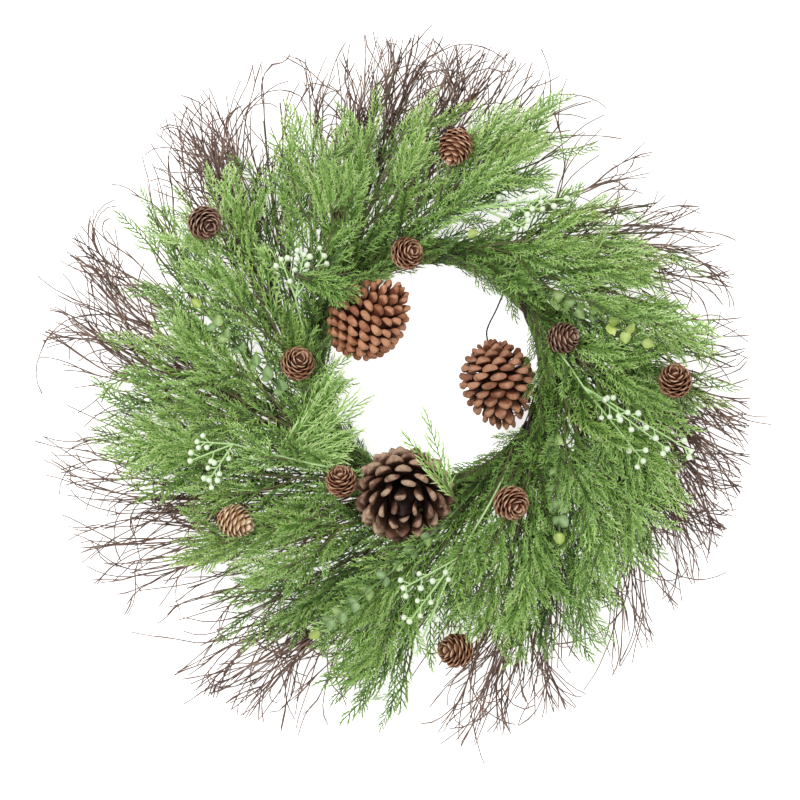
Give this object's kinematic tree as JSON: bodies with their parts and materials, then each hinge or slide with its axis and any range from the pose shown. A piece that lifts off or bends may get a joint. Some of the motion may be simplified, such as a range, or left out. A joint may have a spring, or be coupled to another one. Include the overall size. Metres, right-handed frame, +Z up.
{
  "type": "evergreen wreath",
  "caption": "Evergreen wreath: cedar sprays and bare twigs swept round a ring of twisted vines, with pine cones, pale berry sprigs and leafy sprigs tucked in.",
  "frame": {"origin": "on the surface the wreath lies on, under the middle of its outline", "axes": "+Z up out of the front of the wreath, +Y towards the top of the picture, +X towards its right"},
  "size_m": [0.6292, 0.6244, 0.1016],
  "materials": {
    "vine": "rough dry bark",
    "twig": "matt bare bark",
    "cedar_back": "dark fresh foliage",
    "cedar_front": "fresh foliage, waxy",
    "large_cone": "dry woody scales",
    "small_cone": "dry woody scales",
    "berry": "smooth waxy skin",
    "leaf": "satin leaf",
    "wire": "dark annealed"
  },
  "bodies": {
    "root": {"berry_sprig_1": "berry", "berry_sprig_2": "berry", "berry_sprig_3": "berry", "berry_sprig_4": "berry", "berry_sprig_5": "berry", "cedar_back_1": "cedar_back", "cedar_back_10": "cedar_back", "cedar_back_11": "cedar_back", "cedar_back_2": "cedar_back", "cedar_back_3": "cedar_back", "cedar_back_4": "cedar_back", "cedar_back_5": "cedar_back", "cedar_back_6": "cedar_back", "cedar_back_7": "cedar_back", "cedar_back_8": "cedar_back", "cedar_back_9": "cedar_back", "cedar_front_1": "cedar_front", "cedar_front_10": "cedar_front", "cedar_front_11": "cedar_front", "cedar_front_12": "cedar_front", "cedar_front_2": "cedar_front", "cedar_front_3": "cedar_front", "cedar_front_4": "cedar_front", "cedar_front_5": "cedar_front", "cedar_front_6": "cedar_front", "cedar_front_7": "cedar_front", "cedar_front_8": "cedar_front", "cedar_front_9": "cedar_front", "cedar_tucked_1": "cedar_front", "cone_wire": "wire", "large_cone_1": "large_cone", "large_cone_2": "large_cone", "large_cone_3": "large_cone", "leaf_sprig_1": "leaf", "leaf_sprig_2": "leaf", "leaf_sprig_3": "leaf", "leaf_sprig_4": "leaf", "leaf_sprig_5": "leaf", "small_cone_1": "small_cone", "small_cone_10": "small_cone", "small_cone_2": "small_cone", "small_cone_3": "small_cone", "small_cone_4": "small_cone", "small_cone_5": "small_cone", "small_cone_6": "small_cone", "small_cone_7": "small_cone", "small_cone_8": "small_cone", "small_cone_9": "small_cone", "twig_bunch_1": "twig", "twig_bunch_10": "twig", "twig_bunch_2": "twig", "twig_bunch_3": "twig", "twig_bunch_4": "twig", "twig_bunch_5": "twig", "twig_bunch_6": "twig", "twig_bunch_7": "twig", "twig_bunch_8": "twig", "twig_bunch_9": "twig", "vine_ring": "vine"}
  },
  "joints": []
}
